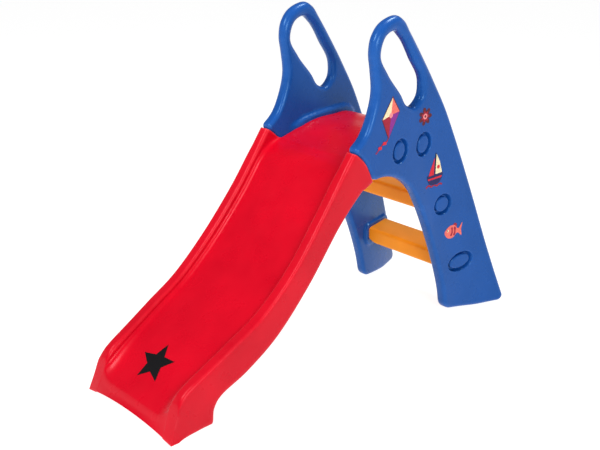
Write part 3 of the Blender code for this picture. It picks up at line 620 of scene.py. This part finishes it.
def panel_ledge(points):
    """How far the inner face stands out in the ledge over the platform."""
    top, floor = np.array(LEDGE_TOP), np.array(PLATFORM_TOP + PLATFORM_END)
    over = np.interp(points[:, 0], top[:, 0], top[:, 1]) - points[:, 1]
    above = points[:, 1] - np.interp(points[:, 0], floor[:, 0], floor[:, 1])
    ends = smoothstep(*LEDGE_START, points[:, 0]) * smoothstep(*LEDGE_STOP, points[:, 0])
    return LEDGE_T * ends * smoothstep(*LEDGE_EDGE, over) * smoothstep(*LEDGE_FOOT, above)


def make_panels():
    outline = counter_clockwise(closed_outline((PANEL_BACK, PANEL_HEEL, PANEL_SOLE, PANEL_ARCH, PANEL_JOINT),
                                               FINE, CORNER_CUT))
    hole = counter_clockwise(smooth_path(HAND_HOLE, FINE, closed=True))
    inner_points = panel_points(outline, hole)
    points = np.concatenate([outline, hole, inner_points])
    n_out, n_hole = len(outline), len(hole)
    edges = [(i, (i + 1) % n_out) for i in range(n_out)]
    edges += [(n_out + i, n_out + (i + 1) % n_hole) for i in range(n_hole)]
    flat, _, triangles, _, _, _ = delaunay_2d_cdt([Vector(p) for p in points], edges, [], WITHIN_EDGES, 1e-8)
    flat = np.array([tuple(p) for p in flat])
    triangles = np.array([t for t in triangles if len(t) == 3])
    middles = flat[triangles].mean(axis=1)
    triangles = triangles[~within(middles, hole)]

    rim_distance = np.minimum(distance_to(flat, outline), distance_to(flat, hole))
    rim_distance[:n_out + n_hole] = 0.0
    radius = RIM_R + (LOOP_R - RIM_R) * smoothstep(LOOP_FROM, LOOP_TO, flat[:, 1])
    fall = quarter_round(rim_distance, radius)
    outer = outer_face_x(flat) - fall - panel_relief(flat)
    inner = inner_face_x(flat) + fall - panel_collars(flat) - panel_ledge(flat)
    count = len(flat)
    verts = np.concatenate([to_frame(outer, flat), to_frame(inner, flat)])
    faces = [tuple(t) for t in triangles] + [tuple(t[::-1] + count) for t in triangles]
    faces += [(a + count, b + count, b, a) for a, b in edges]
    for side, placed in (("right", verts), ("left", mirror(verts))):
        panel = mesh_object(side + "_panel_moulding", placed, faces, BLUE, angle=180)
        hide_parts(side + "_side_panel")


def make_caps():
    """The covers in the pockets: low islands with a soft shoulder and a slightly crowned top."""
    steps, rings = CAP_STEPS, CAP_LEVELS
    for name, centre, half, tilt in FIXINGS:
        half = (half[0] - CAP_RIM, half[1] - CAP_RIM)
        floor = float(outer_face_x(np.array([centre]))[0]) - CAP_FLOOR
        reach = min(half)
        verts = []
        for scale in (math.sin(math.pi / 2 * k / rings) for k in range(1, rings + 1)):
            loop = ellipse(centre, (half[0] * scale, half[1] * scale), tilt, steps)
            fall = quarter_round(np.full(steps, reach * (1 - scale)), CAP_SHOULDER)
            crown = CAP_CROWN * (1 - scale ** 2)
            verts.append(to_frame(outer_face_x(loop) - CAP_DROP - fall + crown, loop))
        for lift in THIRDS:
            loop = ellipse(centre, half, tilt, steps)
            top = outer_face_x(loop) - CAP_DROP - CAP_SHOULDER
            verts.append(to_frame(floor + (top - floor) * lift, loop))
        middle = np.array([centre])
        tip = to_frame(outer_face_x(middle) - CAP_DROP + CAP_CROWN, middle)
        foot = to_frame(np.array([floor]), middle)
        verts = np.concatenate(verts + [tip, foot])
        levels = rings + len(THIRDS)
        faces = tube(levels, steps)
        for i in range(steps):
            j = (i + 1) % steps
            faces.append((levels * steps, j, i))
            faces.append((levels * steps + 1, (levels - 1) * steps + i, (levels - 1) * steps + j))
        for side, placed in (("right", verts), ("left", mirror(verts))):
            cap = mesh_object(f"{side}_{name}_cover", placed, faces, BLUE, angle=180)
            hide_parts(f"{side}_{name}_cap")


# ---------------------------------------------------------------- chute
def resampled(rows, steps):
    """Catmull-Rom through the rows, at the same parameters for every column."""
    rows = np.array(rows, float)
    padded = np.concatenate([[2 * rows[0] - rows[1]], rows, [2 * rows[-1] - rows[-2]]])
    path = []
    for i in range(len(rows) - 1):
        before, start, end, after = padded[i:i + 4]
        for k in range(steps):
            t = k / steps
            path.append(0.5 * (2 * start + (end - before) * t
                               + (2 * before - 5 * start + 4 * end - after) * t ** 2
                               + (3 * start - before - 3 * end + after) * t ** 3))
    path.append(rows[-1])
    return np.array(path)


def along(start, end, distance):
    gap = end - start
    return start + gap / max(1e-9, np.linalg.norm(gap)) * distance


def arc(count, start, end):
    return [math.radians(start + (end - start) * k / (count - 1)) for k in range(count)]


def chute_half_section(rim, bed, band, half_width, bed_round, arch):
    """Right half of a cross section as (x, y, z), from the middle of the bed to the middle underneath."""
    inner_x = half_width - CHUTE_WALL
    wall_height = np.linalg.norm(rim - bed)
    rim_r = min(CHUTE_RIM_R, RIM_SHARE * wall_height)
    across, up = bed_round[0], min(bed_round[1], ROUND_SHARE * (wall_height - rim_r))
    points = []

    def put(x, spot):
        points.append((x, spot[0], spot[1] + arch * max(0.0, 1 - (x / half_width) ** 2)))

    for share in np.linspace(0.0, 1.0, BED_STEPS)[:-1]:
        put((inner_x - across) * share, bed)
    for a in arc(BED_ARC, 0, BED_ARC_END):
        x = inner_x - across * (1 - math.sin(a))
        put(x, along(bed, rim, up * (1 - math.cos(a))))
    corner = len(points)
    low, high = along(bed, rim, up), along(rim, bed, rim_r)
    for share in THIRDS[::-1]:
        put(inner_x, low + (high - low) * share)
    for a in arc(RIM_ARC, 0, 90):
        put(inner_x + rim_r * (1 - math.cos(a)), along(rim, bed, rim_r * (1 - math.sin(a))))
    for a in arc(RIM_ARC, 90, 0):
        put(half_width - rim_r * (1 - math.cos(a)), along(rim, bed, rim_r * (1 - math.sin(a))))
    low = along(band, rim, BAND_R)
    for share in np.linspace(0.0, 1.0, SIDE_STEPS)[1:-1]:
        put(half_width, high + (low - high) * share)
    for a in arc(BAND_ARC, 0, 90):
        put(half_width - BAND_R * (1 - math.cos(a)), along(band, rim, BAND_R * (1 - math.sin(a))))
    under_wall = len(points)
    put(inner_x, band)
    put(FLANGE_X + FLANGE_FLAT, band)
    put(FLANGE_X, along(band, bed, FLANGE_R))
    roof = along(bed, band, min(BED_T, 0.5 * np.linalg.norm(band - bed)))
    put(FLANGE_X - FLANGE_R, roof)
    for share in THIRDS:
        put(FLANGE_X * share, roof)
    return np.array(points), corner, under_wall


def end_bulge(points, rim, band, fade):
    """Move a wall's side points out to the curved joint with the panel."""
    chord = band - rim
    length = np.linalg.norm(chord)
    chord = chord / length
    normal = np.array([-chord[1], chord[0]])
    gap = points[:, 1:] - rim
    t = np.clip(gap @ chord / length, 0.0, 1.0)
    short = np.maximum(0.0, JOINT_BULGE * np.sin(math.pi * t ** BULGE_SKEW) - gap @ normal)
    points[:, 1:] += normal * (short * fade)[:, None]


def platform_half_section(top, bottom, corner):
    """Right half of the platform's cross section, with as many points as the chute has without walls."""
    r = BAND_R
    points = []

    def put(x, spot):
        points.append((x, spot[0], spot[1]))

    for share in np.linspace(0.0, 1.0, corner + 1 - PLATFORM_ARC):
        put((PLATFORM_HALF - 2 * r) * share, top)
    for a in arc(PLATFORM_ARC, 0, 90):
        put(PLATFORM_HALF - r * (1 - math.sin(a)), along(top, bottom, r * (1 - math.cos(a))))
    put(PLATFORM_HALF, bottom)
    put(FLANGE_X + FLANGE_FLAT, bottom)
    put(FLANGE_X, along(bottom, top, FLANGE_R))
    roof = along(top, bottom, BED_T)
    put(FLANGE_X - FLANGE_R, roof)
    for share in THIRDS:
        put(FLANGE_X * share, roof)
    return np.array(points)


def platform_stations():
    """(top, bottom) of each cross section of the platform."""
    tops = smooth_path(PLATFORM_TOP, 0.008)[1:]
    level = PLATFORM_LEVEL - PLATFORM_DEPTH
    first = ARCH_END[1] + PLATFORM_RISE
    blend = smoothstep(0.0, PLATFORM_BLEND, tops[:, 0] - PLATFORM_TOP[0][0])
    stations = [(top, np.array([top[0] + PLATFORM_LEAN * (1 - b), first + (level - first) * b]))
                for top, b in zip(tops, blend)]
    end = smooth_path((PLATFORM_TOP[-1],) + PLATFORM_END, 0.006)[1:]
    for top in end:
        lift = END_RISE * float(smoothstep(END_FROM, END_TO, top[0]))
        stations.append((top, np.array([top[0] - END_LEAN, level + lift])))
    return stations


def chute_path():
    """Rows of rim, bed, band, half width and bed round, close together along the chute."""
    rows = [(*rim, *bed, *band, width, *bed_round)
            for (rim, bed, band), width, bed_round in zip(CHUTE_SECTIONS, CHUTE_HALF_WIDTHS, BED_ROUNDS)]
    return resampled(rows, SECTION_STEPS)


def make_chute():
    path = chute_path()
    verts, faces, rings = [], [], []

    def add_ring(half):
        """Both halves of a section: they share their middle vertices."""
        first = len(verts)
        verts.extend(half)
        right = list(range(first, first + len(half)))
        verts.extend(half[1:-1] * np.array([-1.0, 1.0, 1.0]))
        left = [right[0], *range(first + len(half), first + 2 * len(half) - 2), right[-1]]
        return right, left

    def bridge(a, b):
        faces.extend((a[i], a[i + 1], b[i + 1], b[i]) for i in range(len(a) - 1))

    for i, row in enumerate(path):
        rim, bed, band, width = row[0:2], row[2:4], row[4:6], row[6]
        band[1] = max(0.0, band[1])
        nearness = max(0.0, 1 - (len(path) - 1 - i) / (2.0 * SECTION_STEPS))
        half, corner, under_wall = chute_half_section(rim, bed, band, width, row[7:9],
                                                      EXIT_ARCH * nearness ** 2)
        fade = max(0.0, 1 - i / SECTION_STEPS) ** 2
        end_bulge(half[corner:under_wall], rim, band, fade)
        rings.append(add_ring(half))
    for ring_a, ring_b in zip(rings, rings[1:]):
        for a, b in zip(ring_a, ring_b):
            bridge(a, b)
    lip = rings[-1][0] + rings[-1][1][-2:0:-1]
    flat = [Vector(verts[v][:2]) for v in lip]
    rim_edges = [(i, (i + 1) % len(lip)) for i in range(len(lip))]
    triangles = delaunay_2d_cdt(flat, rim_edges, [], WITHIN_EDGES, 1e-9)[2]
    faces.extend(tuple(lip[i] for i in triangle) for triangle in triangles)
    joint = rings[0]
    for half_ring in joint:
        faces.append(tuple(half_ring[corner:under_wall + 1]))
    previous = [[half[k] for k in range(len(half)) if k <= corner or k >= under_wall] for half in joint]
    for top, bottom in platform_stations():
        ring = add_ring(platform_half_section(top, bottom, corner))
        for a, b in zip(previous, ring):
            bridge(a, b)
        previous = ring
    faces.append(tuple(previous[0] + previous[1][-2:0:-1]))
    verts = np.array(verts)
    verts[:, 1] += EXIT_Y
    chute = mesh_object("chute_moulding", verts, faces, RED, angle=50)
    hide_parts("chute")


# ---------------------------------------------------------------- steps
def make_step(name, place):
    loop = step_loop(place, 0.0, 0.008)
    depth = place[1] - loop[:, 1]
    lowness = np.clip((depth - STEP_ROUND_FROM) / (STEP_T - STEP_ROUND_FROM), 0.0, 1.0)
    middle = loop.mean(axis=0)
    rings = []
    for inset_x in STEP_RINGS:
        near = max(0.0, 1 - inset_x / STEP_ROUND_W)
        rise = STEP_ROUND_H * (1 - math.sqrt(1 - near ** 2)) * lowness
        shrink = float(quarter_round(np.array([inset_x]), STEP_END_R)[0])
        ring = loop + (middle - loop) / np.linalg.norm(middle - loop, axis=1)[:, None] * shrink
        ring = ring + np.stack([np.zeros(len(loop)), rise], axis=1)
        rings.append(to_frame(inner_face_x(loop) - STEP_GAP - inset_x, ring))
    rings = [mirror(r) for r in rings] + rings[::-1]
    n = len(loop)
    verts = np.concatenate(rings)
    faces = tube(len(rings), n)
    last = (len(rings) - 1) * n
    faces.append(tuple(range(n)))
    faces.append(tuple(range(last + n - 1, last - 1, -1)))
    step = mesh_object(name + "_moulding", verts, faces, ORANGE, angle=60)
    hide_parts(name)


# ---------------------------------------------------------------- stickers
def ring_at(centre, radius):
    return ellipse(centre, (radius, radius), 0.0, DOT_STEPS)


def polygon(centre, pairs):
    """A shape with sides cut into short lengths, moved to its place."""
    return divided(np.array(pairs, float), STRAIGHT_STEP) + np.array(centre)


def blob(centre, pairs):
    """A smooth closed shape through the points, moved to its place."""
    return smooth_path(np.array(pairs, float) + np.array(centre), CURVE_STEP, closed=True)


def petals(centre, count, near, far):
    """A flower outline whose radius swings between near and far."""
    a = np.arange(PETAL_STEPS) * math.tau / PETAL_STEPS
    radius = near + (far - near) * np.abs(np.cos(count * a / 2)) ** PETAL_SHAPE
    return np.stack([centre[0] + radius * np.cos(a), centre[1] + radius * np.sin(a)], axis=1)


def ribbon(points, width):
    """A closed band of even width along a smooth line."""
    path = smooth_path(points, CURVE_STEP)
    run = np.gradient(path, axis=0)
    side = np.stack([-run[:, 1], run[:, 0]], axis=1)
    side *= (width / 2 / np.linalg.norm(side, axis=1))[:, None]
    return np.concatenate([path + side, (path - side)[::-1]])


def star_loop(points, outer, inner, turn):
    """A star about the origin, turned from upright."""
    a = turn + math.pi / 2 + math.pi * np.arange(2 * points) / points
    radius = np.where(np.arange(2 * points) % 2 == 0, outer, inner)
    return np.stack([radius * np.cos(a), radius * np.sin(a)], axis=1)


def filled(loop, spacing):
    """A flat triangulation of what the loop encloses: points, triangles and how many are on the rim."""
    loop = counter_clockwise(loop)
    low, high = loop.min(axis=0), loop.max(axis=0)
    size = np.ceil((high - low) / spacing).astype(int) + 1
    grid = np.array([low + np.array([c + 0.5 * (r % 2), r]) * spacing
                     for r in range(size[1]) for c in range(size[0])])
    grid = grid[within(grid, loop)]
    if len(grid):
        grid = grid[distance_to(grid, loop) > FILM_CLEARANCE * spacing]
    points = np.concatenate([loop, grid])
    count = len(loop)
    edges = [(i, (i + 1) % count) for i in range(count)]
    flat, _, triangles, _, _, _ = delaunay_2d_cdt([Vector(p) for p in points], edges, [], WITHIN_EDGES, 1e-9)
    return np.array([tuple(p) for p in flat]), np.array([t for t in triangles if len(t) == 3]), count


def film(name, layers, surface, replaced=None):
    """A printed film in flat layers: (loop, ink) pairs, each a hair prouder than the one before."""
    verts, faces, inks, used = [], [], [], []
    first = 0
    for level, (loop, ink) in enumerate(layers):
        flat, triangles, rim = filled(loop, FILM_GRID)
        top = surface(flat, FILM_GAP + FILM_T + FILM_STEP * level)
        under = surface(flat, FILM_GAP)
        count = len(flat)
        verts += [top, under]
        quads = [(i, (i + 1) % rim, (i + 1) % rim + count, i + count) for i in range(rim)]
        made = [tuple(t) for t in triangles] + [tuple(t[::-1] + count) for t in triangles] + quads
        faces += [tuple(first + v for v in face) for face in made]
        if ink not in used:
            used.append(ink)
        inks += [used.index(ink)] * len(made)
        first += 2 * count
    thing = mesh_object(name, np.concatenate(verts), faces, INK[used[0]], angle=40)
    for ink in used[1:]:
        thing.data.materials.append(INK[ink])
    thing.data.polygons.foreach_set("material_index", inks)
    if replaced:
        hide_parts(replaced)


# each picture is a list of (loop, ink) pairs about its centre, from the bottom layer up
def kite_layers(c):
    top, right, foot, left = (0.006, 0.064), (0.036, 0.020), (-0.006, -0.052), (-0.034, 0.006)
    mid = (0.001, 0.014)
    bow = ((-0.007, -0.004), (-0.007, 0.005), (0.007, 0.004), (0.007, -0.005))
    grown = [tuple(np.array(p) * 1.07) for p in (top, right, foot, left)]
    tail = [np.array(c) + p for p in ((-0.006, -0.050), (-0.016, -0.062), (-0.028, -0.064), (-0.040, -0.074),
                                      (-0.058, -0.088))]
    layers = [(ribbon(tail, 0.0042), "dark_red"), (polygon(c, grown), "maroon"),
              (polygon(c, (top, right, mid)), "coral"), (polygon(c, (right, foot, mid)), "purple"),
              (polygon(c, (foot, left, mid)), "dark_red"), (polygon(c, (left, top, mid)), "cream"),
              (ring_at(np.array(c) + mid, 0.0075), "pink")]
    for at in ((-0.022, -0.0635), (-0.041, -0.0745)):
        layers.append((polygon(np.array(c) + at, bow), "red"))
    return layers


def flower_layers(c):
    return [(petals(c, 7, 0.014, 0.0275), "maroon"), (petals(c, 7, 0.008, 0.017), "dark_red"),
            (ring_at(c, 0.0085), "pink"), (ring_at(c, 0.0038), "maroon")]


def boat_layers(c):
    hull = ((-0.034, -0.014), (0.034, -0.010), (0.024, -0.034), (-0.022, -0.036))
    mast = ((-0.003, -0.014), (0.001, -0.014), (0.001, 0.060), (-0.003, 0.060))
    main = ((0.002, 0.056), (0.018, 0.030), (0.030, -0.006), (0.002, -0.008))
    jib = ((-0.005, 0.046), (-0.005, -0.009), (-0.028, -0.010))
    wave = [np.array(c) + p for p in ((-0.036, -0.046), (-0.024, -0.040), (-0.012, -0.046), (0.000, -0.041),
                                      (0.012, -0.047), (0.024, -0.042), (0.034, -0.046))]
    return [(ribbon(wave, 0.0055), "dark_red"), (polygon(c, mast), "black"), (blob(c, hull), "navy"),
            (polygon(c, main), "cream"), (polygon(c, jib), "red"),
            (polygon(c, ((-0.030, -0.019), (0.030, -0.016), (0.028, -0.022), (-0.028, -0.024))), "red"),
            (ring_at(np.array(c) + (0.013, 0.014), 0.006), "red")]


def fish_layers(c):
    body = ((-0.036, 0.002), (-0.020, 0.019), (0.004, 0.021), (0.020, 0.006), (0.036, 0.024), (0.033, 0.002),
            (0.036, -0.020), (0.018, -0.008), (0.000, -0.022), (-0.022, -0.019))
    fin = ((-0.004, 0.014), (0.004, 0.028), (0.013, 0.024), (0.010, 0.010))
    stripes = [blob(np.array(c) + (x, 0.0), ((-0.003, 0.015), (0.002, 0.014), (0.004, 0.0), (0.001, -0.015),
                                             (-0.004, -0.014), (-0.001, 0.0))) for x in (-0.006, 0.006)]
    return [(blob(c, fin), "dark_red"), (blob(c, body), "coral")] + [(s, "dark_red") for s in stripes] + [
        (ring_at(np.array(c) + (-0.023, 0.006), 0.0040), "cream"),
        (ring_at(np.array(c) + (-0.024, 0.006), 0.0020), "black")]


STICKERS = (
    ("kite_sticker", (0.797, 0.712), kite_layers, "sticker_coral"),
    ("flower_sticker", (0.948, 0.696), flower_layers, "sticker_maroon"),
    ("boat_sticker", (1.006, 0.514), boat_layers, "sticker_cream"),
    ("fish_sticker", (1.105, 0.296), fish_layers, "sticker_coral"),
)


def make_stickers():
    for side, sign in (("right", 1.0), ("left", -1.0)):
        def on_panel(flat, lift, sign=sign):
            return to_frame(sign * (outer_face_x(flat) + lift), flat)
        for name, centre, layers, slot in STICKERS:
            film(f"{side}_{name}_film", layers(centre), on_panel, f"{side}_{name}")


def make_exit_mark():
    """A black star printed on the bed near the exit, with its top point up the slide."""
    bed = chute_path()[::-1][:, 2:4]
    run = np.concatenate([[0.0], np.cumsum(np.linalg.norm(np.diff(bed, axis=0), axis=1))])
    slope = np.gradient(bed, axis=0)
    slope /= np.linalg.norm(slope, axis=1)[:, None]
    start = np.interp(MARK_AT[1], bed[:, 0], run)

    def on_bed(flat, lift):
        s = start + flat[:, 1]
        y, z = np.interp(s, run, bed[:, 0]), np.interp(s, run, bed[:, 1])
        dy, dz = np.interp(s, run, slope[:, 0]), np.interp(s, run, slope[:, 1])
        return np.column_stack([MARK_AT[0] + flat[:, 0], y - dz * lift + EXIT_Y, z + dy * lift])

    star = divided(star_loop(5, MARK_R, MARK_INNER * MARK_R, turn=MARK_TURN), MARK_STEP)
    film("exit_star_print", [(star, "black")], on_bed)


# ---------------------------------------------------------------- stage
def make_stage():
    """A pale floor, a world that is bright low down and dark above, and three square lamps."""
    corners = [(x * FLOOR_HALF, y * FLOOR_HALF, 0) for x, y in ((-1, -1), (1, -1), (1, 1), (-1, 1))]
    mesh = bpy.data.meshes.new("studio_floor")
    mesh.from_pydata(corners, [], [(0, 1, 2, 3)])
    floor = bpy.data.objects.new("studio_floor", mesh)
    bpy.context.collection.objects.link(floor)
    material, shader = principled("studio_floor")
    shader.inputs["Base Color"].default_value = (0.35, 0.35, 0.35, 1)
    shader.inputs["Roughness"].default_value = 0.9
    shader.inputs["Specular IOR Level"].default_value = 0.1
    shader.inputs["Emission Color"].default_value = (1, 1, 1, 1)
    shader.inputs["Emission Strength"].default_value = 0.90
    mesh.materials.append(material)
    floor.location.z = -0.0005

    world = bpy.data.worlds.new("studio")
    bpy.context.scene.world = world
    world.use_nodes = True
    height = node(world, "ShaderNodeSeparateXYZ")
    link(world, node(world, "ShaderNodeTexCoord"), "Generated", height, "Vector")
    fade = ramp(world, height, "Z", (0.06, (1.0, 1.0, 1.0)), (0.34, (0.16, 0.16, 0.16)))
    link(world, fade, "Color", world.node_tree.nodes["Background"], "Color")

    for name, place, target, watts, side in LAMPS:
        light = bpy.data.lights.new(name, "AREA")
        light.energy = watts
        light.size = side
        lamp = bpy.data.objects.new(name, light)
        lamp.location = place
        lamp.rotation_euler = (Vector(target) - Vector(place)).to_track_quat("-Z", "Y").to_euler()
        bpy.context.collection.objects.link(lamp)


def make_camera():
    camera = bpy.data.cameras.new("camera")
    camera.lens = 57.0
    camera.sensor_width = 36.0
    thing = bpy.data.objects.new("camera", camera)
    thing.location = CAMERA_PLACE
    thing.rotation_euler = (math.radians(90 - CAMERA_DOWN), 0.0, math.radians(CAMERA_TURN))
    bpy.context.collection.objects.link(thing)
    bpy.context.scene.camera = thing


make_camera()
make_stage()
make_panels()
make_caps()
make_chute()
make_step("lower_step", LOWER_STEP)
make_step("upper_step", UPPER_STEP)
make_stickers()
make_exit_mark()
for part_name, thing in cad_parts.items():
    if part_name.endswith(("_screw", "_washer", "_nut")):
        thing.data.materials.clear()
        thing.data.materials.append(ZINC)
bpy.context.scene.view_settings.view_transform = "Standard"
